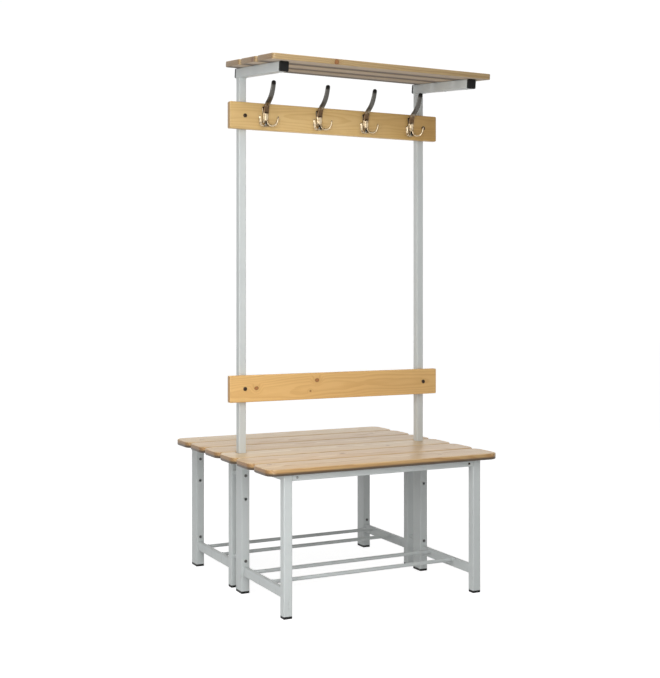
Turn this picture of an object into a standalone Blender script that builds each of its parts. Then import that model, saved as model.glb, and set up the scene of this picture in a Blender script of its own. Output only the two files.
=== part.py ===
# Changing room bench: two slatted benches, one behind the other, with a coat rack on the front one.
# Metres, +Z up, X along the seats, the front towards -Y, origin on the floor under the middle.
import math

import bmesh
import bpy
from mathutils import Euler, Matrix, Vector

# Gap that touching pieces keep, and the distance under which points are welded
contact_gap = 0.0003
weld_distance = 0.00001

# Corner radius that gets one more facet on a slat
radius_per_facet = 0.0075

# Seat slats
seat_length = 0.800
seat_depth = 0.398
seat_height = 0.440
slat_gap = 0.007
slat_thickness = 0.020
slat_corner = 0.030
slat_edge = 0.003
slats_per_bench = 3

# Legs, and how far the slats reach past them
end_overhang = 0.058
front_overhang = 0.020
rear_overhang = 0.008
leg_side = 0.028
rear_leg_depth = 0.050
tube_wall = 0.002
tube_corner = 0.003

# Foot caps and arm caps: a plate outside the tube and a plug inside its end
foot_thickness = 0.007
foot_plug = 0.012
arm_cap_thickness = 0.008
arm_cap_plug = 0.010

# Rails under the seat: the long ones slide over stubs welded to the legs
seat_rail_side = 0.020
stub_length = 0.040
rail_screw_inset = 0.015
rail_screw_depth = 0.010

# Shoe rack: flat rails between the legs, and rods between the rails, flush with their tops.
# The offsets run from the front face of the front legs and from that of the rear legs.
rack_rail_height = 0.030
rack_rail_thickness = 0.015
rack_rail_bottom = 0.055
rod_diameter = 0.012
rod_sides = 16
front_rod_offset = 0.131
rear_rod_offset = 0.056

# Bolts through the rear legs, sleeves that keep the benches apart, and a spare hole
lower_bolt_height = 0.102
upper_bolt_height = 0.371
spare_hole_height = 0.297
spare_hole_diameter = 0.009
sleeve_diameter = 0.014

# Coat rack, with a shelf that falls towards the front
upright_side = 0.025
upright_clearance = 0.001
spigot_bottom = 0.088
spigot_rise = 0.130
spigot_wall = 0.002
weld_height = 0.003
weld_overlap = 0.0002
total_height = 1.680
shelf_slope = math.radians(5.8)
shelf_overhang = 0.038
shelf_depth = 0.372
shelf_slat_gap = 0.012
shelf_slat_thickness = 0.018
shelf_slat_corner = 0.010
shelf_slat_edge = 0.002
shelf_slats = 3
arm_height = 0.030
arm_setback = 0.029

# Hook rail and backrest boards, the one below the shelf arms and the other above the seat
board_overhang = 0.038
board_height = 0.085
board_thickness = 0.020
board_corner = 0.004
board_edge = 0.002
hook_rail_drop = 0.0807
backrest_rise = 0.162

# Coat hooks: a plate, a boss, one long prong and two short ones, at these shares of the rail's length
hook_places = (0.159, 0.409, 0.635, 0.8635)
hook_plate_width = 0.024
hook_plate_height = 0.064
hook_plate_thickness = 0.003
hook_boss_width = 0.017
hook_boss_height = 0.034
hook_boss_rise = 0.009
hook_screw_spacing = 0.048
long_prong_width = 0.019
long_prong_thickness = 0.007
long_prong_reach = 0.068
long_prong_rise = 0.106
short_prong_width = 0.009
short_prong_thickness = 0.0055
short_prong_reach = 0.045
short_prong_drop = 0.028
short_prong_spread = math.radians(45)

# Bolts with a button head and a nut, and the holes for wood screws
bolt_diameter = 0.006
board_bolt_head_diameter = 0.012
leg_bolt_head_diameter = 0.009
bolt_head_height = 0.0035
bolt_socket_diameter = 0.0045
bolt_socket_depth = 0.002
bolt_end = 0.001
bolt_sides = 8
nut_across_corners = 0.011
nut_thickness = 0.004
screw_diameter = 0.004
slat_screw_bite = 0.013
rear_screw_shift = 0.020
hook_screw_bite = 0.015
hole_clearance = 0.0003
hole_sides = 6

# Sizes that follow from those above
frame_width = seat_length - 2 * end_overhang
slat_width = (seat_depth - (slats_per_bench - 1) * slat_gap) / slats_per_bench
slat_pitch = slat_width + slat_gap
bench_pitch = seat_depth + slat_gap
seat_front = -(bench_pitch + seat_depth) / 2
slat_underside = seat_height - slat_thickness
frame_top = slat_underside - contact_gap
leg_bottom = foot_thickness + contact_gap
leg_x = frame_width / 2 - leg_side / 2
inner_leg_face = leg_x - leg_side / 2
rear_face = seat_depth - front_overhang - rear_overhang
rear_leg_front = rear_face - rear_leg_depth
rear_leg_y = rear_face - rear_leg_depth / 2
upright_y = rear_face - upright_side / 2
upright_bottom = frame_top + contact_gap
shelf_rear = upright_side / 2
shelf_front = shelf_rear - shelf_depth
shelf_underside = arm_height + contact_gap
shelf_top = shelf_underside + shelf_slat_thickness
arm_bottom = total_height - shelf_top * math.cos(shelf_slope) - shelf_rear * math.sin(shelf_slope)
upright_top = arm_bottom - contact_gap
hook_rail_bottom = arm_bottom - hook_rail_drop - board_height
backrest_bottom = seat_height + backrest_rise
shelf_length = frame_width + 2 * shelf_overhang
shelf_slat_width = (shelf_depth - (shelf_slats - 1) * shelf_slat_gap) / shelf_slats
arm_front = shelf_front + arm_setback + arm_cap_thickness + contact_gap
board_length = frame_width + 2 * board_overhang
board_back = rear_face - upright_side - contact_gap
board_front = board_back - board_thickness
spigot_side = upright_side - 2 * tube_wall - 2 * contact_gap
spigot_top = upright_bottom + spigot_rise
seat_rail_z = frame_top - seat_rail_side / 2
bolt_hole = bolt_diameter + 2 * hole_clearance
screw_hole = screw_diameter + 2 * hole_clearance

for old in list(bpy.data.objects):
    bpy.data.objects.remove(old, do_unlink=True)

parts = bpy.data.collections.new("changing_room_bench")
cutters = bpy.data.collections.new("cutters")
bpy.context.scene.collection.children.link(parts)
bpy.context.scene.collection.children.link(cutters)


def make_look(name, colour, roughness, metallic):
    look = bpy.data.materials.new(name)
    look.use_nodes = True
    shader = look.node_tree.nodes["Principled BSDF"]
    shader.inputs["Base Color"].default_value = (*colour, 1.0)
    shader.inputs["Roughness"].default_value = roughness
    shader.inputs["Metallic"].default_value = metallic
    return look


grey_paint = make_look("light_grey_paint", (0.60, 0.63, 0.62), 0.45, 0.0)
seat_pine = make_look("seat_pine", (0.62, 0.48, 0.33), 0.5, 0.0)
board_pine = make_look("board_pine", (0.66, 0.40, 0.17), 0.45, 0.0)
black_plastic = make_look("black_plastic", (0.015, 0.015, 0.016), 0.5, 0.0)
hook_steel = make_look("hook_steel", (0.62, 0.62, 0.61), 0.18, 1.0)
dark_steel = make_look("dark_steel", (0.07, 0.07, 0.07), 0.4, 0.8)


def rounded_outline(width, depth, radius, steps):
    # Corner points of a rectangle with rounded corners, counter-clockwise
    points = []
    for turn in range(4):
        side_x = 1 if turn in (0, 3) else -1
        side_y = 1 if turn in (0, 1) else -1
        for step in range(steps + 1):
            angle = math.pi / 2 * (turn + step / steps)
            x = side_x * (width / 2 - radius) + radius * math.cos(angle)
            y = side_y * (depth / 2 - radius) + radius * math.sin(angle)
            points.append((x, y))
    return points


def polygon_outline(diameter, sides):
    turns = [2 * math.pi * side / sides for side in range(sides)]
    return [(diameter / 2 * math.cos(turn), diameter / 2 * math.sin(turn)) for turn in turns]


def bore_outline(diameter, sides):
    # Polygon whose flats, not its corners, lie on the diameter
    return polygon_outline(diameter / math.cos(math.pi / sides), sides)


def baked_mesh(item, name, flatten=False):
    # Turns a curve or a modified object into a closed mesh and removes the object
    depsgraph = bpy.context.evaluated_depsgraph_get()
    mesh = bpy.data.meshes.new_from_object(item.evaluated_get(depsgraph))
    bpy.data.objects.remove(item, do_unlink=True)
    mesh.name = name
    shell = bmesh.new()
    shell.from_mesh(mesh)
    bmesh.ops.remove_doubles(shell, verts=shell.verts, dist=weld_distance)
    if flatten:
        bmesh.ops.dissolve_limit(
            shell, angle_limit=math.radians(1), verts=shell.verts, edges=shell.edges)
    bmesh.ops.recalc_face_normals(shell, faces=shell.faces)
    shell.to_mesh(mesh)
    shell.free()
    return mesh


def scratch_object(name, data):
    item = bpy.data.objects.new(name, data)
    bpy.context.scene.collection.objects.link(item)
    return item


def add_spline(curve, outline):
    spline = curve.splines.new("POLY")
    spline.points.add(len(outline) - 1)
    for point, (x, y) in zip(spline.points, outline):
        point.co = (x, y, 0, 1)
    spline.use_cyclic_u = True


def extruded(name, outlines, length, flatten=False):
    # Flat outline, with any inner outlines left open, drawn out along Z to both sides
    curve = bpy.data.curves.new(name, "CURVE")
    curve.dimensions = "2D"
    curve.fill_mode = "BOTH"
    curve.extrude = length / 2
    for outline in outlines:
        add_spline(curve, outline)
    return baked_mesh(scratch_object(name, curve), name, flatten)


def box_tube(name, width, depth, length, wall=tube_wall, facets=2):
    outer = rounded_outline(width, depth, tube_corner, facets)
    inner = rounded_outline(width - 2 * wall, depth - 2 * wall, tube_corner - wall / 2, facets)
    return extruded(name, [outer, inner], length)


def turned(name, profile, steps):
    # Profile of (radius, height) pairs, from the top down the outer side, turned about Z
    mesh = bpy.data.meshes.new(name)
    edges = [(low, low + 1) for low in range(len(profile) - 1)]
    mesh.from_pydata([(radius, 0, height) for radius, height in profile], edges, [])
    item = scratch_object(name, mesh)
    turn = item.modifiers.new("turn", "SCREW")
    turn.axis = "Z"
    turn.steps = steps
    turn.render_steps = steps
    turn.use_merge_vertices = True
    turn.merge_threshold = weld_distance
    return baked_mesh(item, name)


def united(name, first, others):
    # Boolean union of solids that reach into each other
    base = scratch_object(name, first)
    tools = []
    for number, other in enumerate(others):
        tool = scratch_object(f"{name}_{number}", other)
        join = base.modifiers.new(f"join_{number}", "BOOLEAN")
        join.operation = "UNION"
        join.object = tool
        tools.append(tool)
    mesh = baked_mesh(base, name)
    for tool in tools:
        bpy.data.objects.remove(tool, do_unlink=True)
    return mesh


def add_anchor(name, parent, location, rotation=(0, 0, 0)):
    anchor = bpy.data.objects.new(name, None)
    anchor.parent = parent
    anchor.location = location
    anchor.rotation_euler = rotation
    parts.objects.link(anchor)
    return anchor


def add_part(name, mesh, look, anchor, location=(0, 0, 0), rotation=(0, 0, 0)):
    mesh.shade_smooth()
    mesh.set_sharp_from_angle(angle=math.radians(35))
    mesh.materials.clear()
    mesh.materials.append(look)
    item = bpy.data.objects.new(name, mesh)
    item.parent = anchor
    item.location = location
    item.rotation_euler = rotation
    parts.objects.link(item)
    return item


def round_edges(item, width):
    bevel = item.modifiers.new("rounded_edges", "BEVEL")
    bevel.width = width
    bevel.segments = 2
    bevel.limit_method = "ANGLE"
    bevel.angle_limit = math.radians(60)


def cut_with(item, mesh):
    cutter = bpy.data.objects.new(f"cut_{item.name}", mesh)
    cutter.parent = item.parent
    cutter.hide_render = True
    cutter.display_type = "WIRE"
    cutters.objects.link(cutter)
    cut = item.modifiers.new("cut", "BOOLEAN")
    cut.operation = "DIFFERENCE"
    cut.object = cutter


def bore_mesh(name, bores):
    # Straight round bores, each from one point to another with its own diameter
    whole = bmesh.new()
    for start, end, diameter in bores:
        way = Vector(end) - Vector(start)
        radius = diameter / 2 / math.cos(math.pi / hole_sides)
        middle = Matrix.Translation((Vector(start) + Vector(end)) / 2)
        lean = way.to_track_quat("Z", "Y").to_matrix().to_4x4()
        bmesh.ops.create_cone(
            whole, cap_ends=True, segments=hole_sides, radius1=radius, radius2=radius,
            depth=way.length, matrix=middle @ lean)
    mesh = bpy.data.meshes.new(name)
    whole.to_mesh(mesh)
    whole.free()
    return mesh


def drill(item, bores):
    cut_with(item, bore_mesh(f"bores_{item.name}", bores))


def box_mesh(name, low, high):
    low, high = Vector(low), Vector(high)
    size = Matrix.Diagonal((*(high - low), 1))
    solid = bmesh.new()
    bmesh.ops.create_cube(solid, size=1, matrix=Matrix.Translation((low + high) / 2) @ size)
    mesh = bpy.data.meshes.new(name)
    solid.to_mesh(mesh)
    solid.free()
    return mesh


def bolt_mesh(name, grip, head_diameter):
    # Button head above z = 0 with a socket in it, shank below, and the nut that far down on it
    head = head_diameter / 2
    socket = bolt_socket_diameter / 2
    floor = bolt_head_height - bolt_socket_depth
    shoulder = bolt_head_height / 3
    shank = bolt_diameter / 2
    end = -grip - nut_thickness - bolt_end
    profile = [
        (0, floor), (socket, floor), (socket, bolt_head_height),
        (head - shoulder, bolt_head_height - shoulder / 2), (head, shoulder), (head, 0),
        (shank, 0), (shank, end), (0, end)]
    bolt = turned(name, profile, bolt_sides)
    nut = extruded(f"{name}_nut", [polygon_outline(nut_across_corners, 6)], nut_thickness)
    nut.transform(Matrix.Translation((0, 0, -grip - nut_thickness / 2)))
    return united(name, bolt, [nut])


def cap_mesh(name, width, depth, thickness, plug):
    # Plate below z = 0 with the outline of the tube, plug above it that fits the bore
    plate = extruded(name, [rounded_outline(width, depth, tube_corner, 2)], thickness)
    plate.transform(Matrix.Translation((0, 0, -thickness / 2)))
    play = 2 * (tube_wall + contact_gap)
    reach = plug + thickness / 2
    corner = tube_corner - tube_wall / 2
    core = extruded(name, [rounded_outline(width - play, depth - play, corner, 1)], reach)
    core.transform(Matrix.Translation((0, 0, plug - reach / 2)))
    return united(name, plate, [core])


# Quarter turns that lay a piece drawn along Z on X or on Y, or stand a flat one up facing -Y
along_x = (0, math.pi / 2, 0)
along_y = (-math.pi / 2, 0, 0)
facing_front = (math.pi / 2, 0, 0)


def placed(location, rotation):
    return Matrix.Translation(location) @ Euler(rotation).to_matrix().to_4x4()


def leg_mesh(name, side, depth, height, rail_shift):
    # Tube about the leg's own middle, with the stub for a long rail welded to its inner face
    tube = box_tube(name, leg_side, depth, height)
    stub_side = seat_rail_side - 2 * tube_wall - 2 * contact_gap
    corner = tube_corner - tube_wall / 2
    length = stub_length + tube_wall / 2
    stub = extruded(f"{name}_stub", [rounded_outline(stub_side, stub_side, corner, 1)], length)
    stub_x = -side * (leg_side / 2 + stub_length - length / 2)
    stub.transform(placed((stub_x, rail_shift, height / 2 - seat_rail_side / 2), along_x))
    return tube, stub


def stub_bore(side, rail_y):
    # Screw hole through the front of a long rail into its stub
    x = side * (inner_leg_face - rail_screw_inset)
    front = rail_y - seat_rail_side / 2
    end = front + tube_wall + rail_screw_depth
    return (x, front - tube_wall, seat_rail_z), (x, end, seat_rail_z), screw_hole


def add_legs(label, anchor, side, word, is_front):
    x = side * leg_x
    height = frame_top - leg_bottom
    middle = leg_bottom + height / 2
    front_y = leg_side / 2

    name = f"{label}_front_leg_{word}"
    tube, stub = leg_mesh(name, side, leg_side, height, seat_rail_side / 2 - front_y)
    leg = add_part(name, united(name, tube, [stub]), grey_paint, anchor, (x, front_y, middle))
    bores = [stub_bore(side, seat_rail_side / 2)]
    if not is_front:
        bores += [((x, -tube_wall, bolt_height), (x, leg_side + tube_wall, bolt_height), bolt_hole)
                  for bolt_height in (lower_bolt_height, upper_bolt_height)]
    drill(leg, bores)

    # The bolts' heads sink into the wall by the contact gap, so each leg is one solid with them.
    # Those of the front bench run on through a sleeve and the rear bench's front leg to their nuts.
    name = f"{label}_rear_leg_{word}"
    tube, stub = leg_mesh(name, side, rear_leg_depth, height, 0)
    fixed = [stub]
    grip = rear_leg_depth - 2 * contact_gap
    sleeve_length = bench_pitch - rear_face
    if is_front:
        grip = rear_leg_depth + sleeve_length + leg_side
    for bolt_height in (lower_bolt_height, upper_bolt_height):
        rise = bolt_height - middle
        bolt = bolt_mesh(f"{name}_bolt", grip, leg_bolt_head_diameter)
        bolt.transform(placed((0, contact_gap - rear_leg_depth / 2, rise), facing_front))
        fixed.append(bolt)
        if is_front:
            sleeve = extruded(f"{name}_sleeve", [polygon_outline(sleeve_diameter, 8)], sleeve_length)
            sleeve_y = rear_leg_depth / 2 + sleeve_length / 2 - contact_gap
            sleeve.transform(placed((0, sleeve_y, rise), along_y))
            fixed.append(sleeve)
    leg = add_part(name, united(name, tube, fixed), grey_paint, anchor, (x, rear_leg_y, middle))
    spare_start = (x, rear_leg_front - tube_wall, spare_hole_height)
    spare_end = (x, rear_leg_front + 2 * tube_wall, spare_hole_height)
    drill(leg, [stub_bore(side, rear_leg_y), (spare_start, spare_end, spare_hole_diameter)])

    for place, depth, y in (("front", leg_side, front_y), ("rear", rear_leg_depth, rear_leg_y)):
        name = f"{label}_foot_cap_{place}_{word}"
        mesh = cap_mesh(name, leg_side, depth, foot_thickness, foot_plug)
        add_part(name, mesh, black_plastic, anchor, (x, y, foot_thickness))


def add_long_rail(name, anchor, y):
    mesh = box_tube(name, seat_rail_side, seat_rail_side, 2 * (inner_leg_face - contact_gap))
    rail = add_part(name, mesh, grey_paint, anchor, (0, y, seat_rail_z), along_x)
    drill(rail, [stub_bore(side, y) for side in (-1, 1)])


def cut_upright_notches(slat):
    # The uprights pass through the rear edge of the slat
    half = upright_side / 2 + upright_clearance
    front = rear_face - upright_side - upright_clearance
    behind = rear_face + rear_overhang + slat_edge
    notches = bmesh.new()
    for side in (-1, 1):
        low = (side * leg_x - half, front, slat_underside - slat_edge)
        high = (side * leg_x + half, behind, seat_height + slat_edge)
        notches.from_mesh(box_mesh("notch", low, high))
    mesh = bpy.data.meshes.new(f"notches_{slat.name}")
    notches.to_mesh(mesh)
    notches.free()
    cut_with(slat, mesh)


def add_slat(name, look, anchor, sizes, y, top, edge, screw_y):
    # Flat slat with a blind screw hole from below over each leg line
    length, width, thickness, corner = sizes
    facets = max(2, round(corner / radius_per_facet))
    mesh = extruded(name, [rounded_outline(length, width, corner, facets)], thickness, flatten=True)
    slat = add_part(name, mesh, look, anchor, (0, y, top - thickness / 2))
    round_edges(slat, edge)
    underside = top - thickness
    hole_top = underside + slat_screw_bite + hole_clearance
    drill(slat, [((side * leg_x, screw_y, underside - edge), (side * leg_x, screw_y, hole_top), screw_hole)
                 for side in (-1, 1)])
    return slat


def add_bench(label, anchor, is_front):
    cross_front = leg_side + contact_gap
    cross_rear = rear_leg_front - contact_gap
    cross_length = cross_rear - cross_front
    cross_y = (cross_front + cross_rear) / 2
    rack_z = rack_rail_bottom + rack_rail_height / 2

    # Slat middles, and where each slat is screwed down
    slat_rows = [slat_width / 2 - front_overhang + number * slat_pitch
                 for number in range(slats_per_bench)]
    screw_rows = slat_rows[:-1] + [slat_rows[-1] - rear_screw_shift]

    for side, word in ((-1, "left"), (1, "right")):
        x = side * leg_x
        add_legs(label, anchor, side, word, is_front)
        name = f"{label}_rack_rail_{word}"
        mesh = box_tube(name, rack_rail_thickness, rack_rail_height, cross_length)
        add_part(name, mesh, grey_paint, anchor, (x, cross_y, rack_z), along_y)
        name = f"{label}_seat_rail_{word}"
        mesh = box_tube(name, seat_rail_side, seat_rail_side, cross_length)
        rail = add_part(name, mesh, grey_paint, anchor, (x, cross_y, seat_rail_z), along_y)
        below = frame_top - seat_rail_side - tube_wall
        drill(rail, [((x, row, below), (x, row, slat_underside), screw_hole) for row in screw_rows])

    add_long_rail(f"{label}_front_rail", anchor, seat_rail_side / 2)
    add_long_rail(f"{label}_rear_rail", anchor, rear_leg_y)

    sizes = (seat_length, slat_width, slat_thickness, slat_corner)
    for number, (row, screw_row) in enumerate(zip(slat_rows, screw_rows), 1):
        name = f"{label}_seat_slat_{number}"
        slat = add_slat(name, seat_pine, anchor, sizes, row, seat_height, slat_edge, screw_row)
        if is_front and number == slats_per_bench:
            cut_upright_notches(slat)

    rod_z = rack_rail_bottom + rack_rail_height - rod_diameter / 2
    rod_length = 2 * leg_x - rack_rail_thickness - 2 * contact_gap
    for word, offset in (("front", front_rod_offset), ("rear", rear_leg_front - rear_rod_offset)):
        name = f"{label}_{word}_rack_rod"
        mesh = extruded(name, [polygon_outline(rod_diameter, rod_sides)], rod_length)
        add_part(name, mesh, grey_paint, anchor, (0, offset, rod_z), along_x)


def add_upright(anchor, side, word, board_middles):
    # Square tube on top of the rear leg, with a spigot welded into its foot that drops into the leg
    x = side * leg_x
    name = f"upright_{word}"
    tube = box_tube(name, upright_side, upright_side, upright_top - upright_bottom)
    for point in tube.vertices:
        # The upper end is cut to the slope of the shelf arm on it
        if point.co.z > 0:
            point.co.z += point.co.y * math.tan(shelf_slope)
    tube.transform(Matrix.Translation((0, 0, (upright_bottom + upright_top) / 2)))
    spigot_length = spigot_top - spigot_bottom
    spigot = box_tube(f"{name}_spigot", spigot_side, spigot_side, spigot_length, spigot_wall, 1)
    spigot.transform(Matrix.Translation((0, 0, (spigot_bottom + spigot_top) / 2)))
    weld_outer = upright_side - 2 * tube_wall + 2 * weld_overlap
    weld_inner = spigot_side - 2 * weld_overlap
    corner = tube_corner - tube_wall / 2
    outlines = [rounded_outline(size, size, corner, 1) for size in (weld_outer, weld_inner)]
    weld = extruded(f"{name}_weld", outlines, weld_height)
    weld.transform(Matrix.Translation((0, 0, upright_bottom + weld_height)))
    mesh = united(name, tube, [weld, spigot])
    upright = add_part(name, mesh, grey_paint, anchor, (x, upright_y, 0))
    bores = [((x, board_back, height), (x, rear_face + tube_wall, height), bolt_hole)
             for height in board_middles]
    bores += [((x, upright_y - spigot_side, height), (x, rear_face, height), bolt_hole)
              for height in (lower_bolt_height, upper_bolt_height)]
    drill(upright, bores)


def add_board(name, anchor, bottom, screw_spots):
    # Board on the uprights' front faces, with a bolt through each upright
    outline = rounded_outline(board_length, board_height, board_corner, 2)
    mesh = extruded(name, [outline], board_thickness, flatten=True)
    z = bottom + board_height / 2
    y = (board_front + board_back) / 2
    board = add_part(name, mesh, board_pine, anchor, (0, y, z), facing_front)
    round_edges(board, board_edge)
    before = board_front - board_edge
    behind = board_back + board_edge
    bores = [((side * leg_x, before, z), (side * leg_x, behind, z), bolt_hole) for side in (-1, 1)]
    hole_end = board_front + hook_screw_bite + hole_clearance
    bores += [((x, before, height), (x, hole_end, height), screw_hole) for x, height in screw_spots]
    drill(board, bores)
    for side, word in ((-1, "left"), (1, "right")):
        bolt_name = f"{name}_bolt_{word}"
        grip = rear_face - board_front + 2 * contact_gap
        mesh = bolt_mesh(bolt_name, grip, board_bolt_head_diameter)
        spot = (side * leg_x, board_front - contact_gap, z)
        add_part(bolt_name, mesh, dark_steel, anchor, spot, facing_front)


def swept_prong(name, width, thickness, path, spread):
    # Strap swept along a path of (reach, rise, size) points, then turned sideways by the spread
    section = bpy.data.curves.new(f"{name}_section", "CURVE")
    section.dimensions = "2D"
    add_spline(section, rounded_outline(thickness, width, thickness * 0.45, 1))
    section_item = scratch_object(f"{name}_section", section)
    curve = bpy.data.curves.new(name, "CURVE")
    curve.dimensions = "3D"
    curve.twist_mode = "Z_UP"
    curve.bevel_mode = "OBJECT"
    curve.bevel_object = section_item
    curve.use_fill_caps = True
    curve.resolution_u = 2
    spline = curve.splines.new("NURBS")
    spline.points.add(len(path) - 1)
    for point, (reach, rise, size) in zip(spline.points, path):
        point.co = (reach, rise, 0, 1)
        point.radius = size
    spline.order_u = 4
    spline.use_endpoint_u = True
    mesh = baked_mesh(scratch_object(name, curve), name)
    bpy.data.objects.remove(section_item, do_unlink=True)
    mesh.transform(Matrix.Rotation(spread - math.pi / 2, 4, "Y"))
    return mesh


def hook_boss(name):
    # Half of a stretched ball on the middle of the plate, where the prongs meet
    shape = bmesh.new()
    size = Matrix.Diagonal((hook_boss_width / 2, hook_boss_height / 2, hook_boss_rise, 1))
    base = (0, 0, hook_plate_thickness / 2)
    bmesh.ops.create_uvsphere(
        shape, u_segments=8, v_segments=4, radius=1, matrix=Matrix.Translation(base) @ size)
    bmesh.ops.bisect_plane(
        shape, geom=shape.verts[:] + shape.edges[:] + shape.faces[:],
        plane_co=base, plane_no=(0, 0, -1), clear_outer=True)
    bmesh.ops.holes_fill(shape, edges=shape.edges)
    bmesh.ops.recalc_face_normals(shape, faces=shape.faces)
    mesh = bpy.data.meshes.new(name)
    shape.to_mesh(mesh)
    shape.free()
    return mesh


def hook_mesh(name):
    # Drawn flat: X across the hook, Y up, Z out from the board, with the plate's back at z = 0
    corner = hook_plate_width / 2 - contact_gap
    outlines = [rounded_outline(hook_plate_width, hook_plate_height, corner, 3)]
    for side in (-1, 1):
        shift = side * hook_screw_spacing / 2
        outlines.append([(x, y + shift) for x, y in bore_outline(screw_hole, hole_sides)])
    plate = extruded(name, outlines, hook_plate_thickness)
    plate.transform(Matrix.Translation((0, 0, hook_plate_thickness / 2)))

    root = hook_plate_thickness + long_prong_thickness / 4
    reach = long_prong_reach
    rise = long_prong_rise
    path = [
        (root, -hook_boss_height / 4, 1.0), (root, hook_boss_height / 4, 1.0),
        (root + reach * 0.05, rise * 0.34, 0.98), (reach * 0.55, rise * 0.46, 0.9),
        (reach * 0.88, rise * 0.70, 0.8), (reach, rise * 0.97, 0.7), (reach, rise, 0.3)]
    prongs = [swept_prong(f"{name}_long", long_prong_width, long_prong_thickness, path, 0)]

    root = (hook_plate_thickness + short_prong_width / 4) / math.cos(short_prong_spread)
    reach = short_prong_reach
    drop = short_prong_drop
    path = [
        (root, -hook_boss_height / 8, 1.0), (reach * 0.16, -drop * 0.72, 1.0),
        (reach * 0.38, -drop * 1.08, 0.97), (reach * 0.74, -drop * 1.10, 0.92),
        (reach * 0.97, -drop * 0.66, 0.88), (reach, -drop * 0.12, 0.82), (reach, -drop * 0.04, 0.35)]
    for side in (-1, 1):
        spread = side * short_prong_spread
        prongs.append(
            swept_prong(f"{name}_short", short_prong_width, short_prong_thickness, path, spread))
    return united(name, plate, [hook_boss(f"{name}_boss")] + prongs)


def add_shelf(anchor):
    # Arms and slats are laid out level about the middle of the uprights' tops, and the anchor leans
    slat_step = shelf_slat_width + shelf_slat_gap
    rows = [shelf_front + shelf_slat_width / 2 + number * slat_step for number in range(shelf_slats)]
    arm_length = shelf_rear - arm_front
    arm_y = (arm_front + shelf_rear) / 2
    arm_z = arm_height / 2
    for side, word in ((-1, "left"), (1, "right")):
        x = side * leg_x
        name = f"shelf_arm_{word}"
        mesh = box_tube(name, leg_side, arm_height, arm_length)
        arm = add_part(name, mesh, grey_paint, anchor, (x, arm_y, arm_z), along_y)
        drill(arm, [((x, row, -tube_wall), (x, row, shelf_underside), screw_hole) for row in rows])
        ends = (
            ("front", arm_front - contact_gap, along_y),
            ("rear", shelf_rear + contact_gap, facing_front))
        for end, y, rotation in ends:
            name = f"shelf_arm_cap_{end}_{word}"
            mesh = cap_mesh(name, leg_side, arm_height, arm_cap_thickness, arm_cap_plug)
            add_part(name, mesh, black_plastic, anchor, (x, y, arm_z), rotation)
    sizes = (shelf_length, shelf_slat_width, shelf_slat_thickness, shelf_slat_corner)
    for number, row in enumerate(rows, 1):
        add_slat(f"shelf_slat_{number}", board_pine, anchor, sizes, row, shelf_top, shelf_slat_edge, row)


def add_coat_rack(anchor):
    board_middles = [bottom + board_height / 2 for bottom in (backrest_bottom, hook_rail_bottom)]
    for side, word in ((-1, "left"), (1, "right")):
        add_upright(anchor, side, word, board_middles)
    lean = (shelf_slope, 0, 0)
    add_shelf(add_anchor("shelf_origin", anchor, (0, upright_y, arm_bottom), lean))

    hook_z = hook_rail_bottom + board_height / 2
    hook_spots = [(place - 0.5) * board_length for place in hook_places]
    screw_spots = [(x, hook_z + side * hook_screw_spacing / 2) for x in hook_spots for side in (-1, 1)]
    add_board("hook_rail", anchor, hook_rail_bottom, screw_spots)
    add_board("backrest", anchor, backrest_bottom, [])
    mesh = hook_mesh("coat_hook")
    for number, x in enumerate(hook_spots, 1):
        spot = (x, board_front - contact_gap, hook_z)
        add_part(f"coat_hook_{number}", mesh, hook_steel, anchor, spot, facing_front)


leg_front = seat_front + front_overhang
origin = add_anchor("changing_room_bench_origin", None, (0, 0, 0))
front_anchor = add_anchor("front_bench_origin", origin, (0, leg_front, 0))
rear_anchor = add_anchor("rear_bench_origin", origin, (0, leg_front + bench_pitch, 0))
rack_anchor = add_anchor("coat_rack_origin", origin, (0, leg_front, 0))
add_bench("front_bench", front_anchor, True)
add_bench("rear_bench", rear_anchor, False)
add_coat_rack(rack_anchor)
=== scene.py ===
import math

import bmesh
import bpy
from mathutils import Matrix, Vector


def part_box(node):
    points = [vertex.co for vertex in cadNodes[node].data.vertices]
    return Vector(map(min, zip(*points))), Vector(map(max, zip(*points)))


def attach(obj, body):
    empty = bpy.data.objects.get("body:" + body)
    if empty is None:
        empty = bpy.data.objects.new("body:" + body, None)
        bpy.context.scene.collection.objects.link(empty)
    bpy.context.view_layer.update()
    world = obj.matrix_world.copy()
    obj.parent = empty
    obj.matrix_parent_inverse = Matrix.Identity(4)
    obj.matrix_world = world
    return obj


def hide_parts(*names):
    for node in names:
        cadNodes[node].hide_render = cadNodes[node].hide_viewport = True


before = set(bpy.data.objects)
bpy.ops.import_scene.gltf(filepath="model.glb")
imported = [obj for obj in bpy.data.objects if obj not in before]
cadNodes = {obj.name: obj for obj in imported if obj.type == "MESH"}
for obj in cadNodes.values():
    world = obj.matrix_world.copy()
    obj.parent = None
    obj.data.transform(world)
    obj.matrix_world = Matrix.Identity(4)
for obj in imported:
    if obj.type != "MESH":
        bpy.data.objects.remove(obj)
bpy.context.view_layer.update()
scene = bpy.context.scene
print("frame loaded:", len(cadNodes), "nodes")


# Small helpers for colours and nodes

def srgb(red, green, blue):
    def toLinear(value):
        value /= 255
        return value / 12.92 if value <= 0.04045 else ((value + 0.055) / 1.055) ** 2.4
    return (toLinear(red), toLinear(green), toLinear(blue), 1.0)


def feed(tree, inputs, plugs):
    # Links sockets and sets plain values
    for key, value in plugs.items():
        if isinstance(value, bpy.types.NodeSocket):
            tree.links.new(value, inputs[key])
        else:
            inputs[key].default_value = value


def addNode(tree, kind, plugs=None, **settings):
    made = tree.nodes.new("ShaderNode" + kind)
    for key, value in settings.items():
        setattr(made, key, value)
    feed(tree, made.inputs, plugs or {})
    return made


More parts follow.
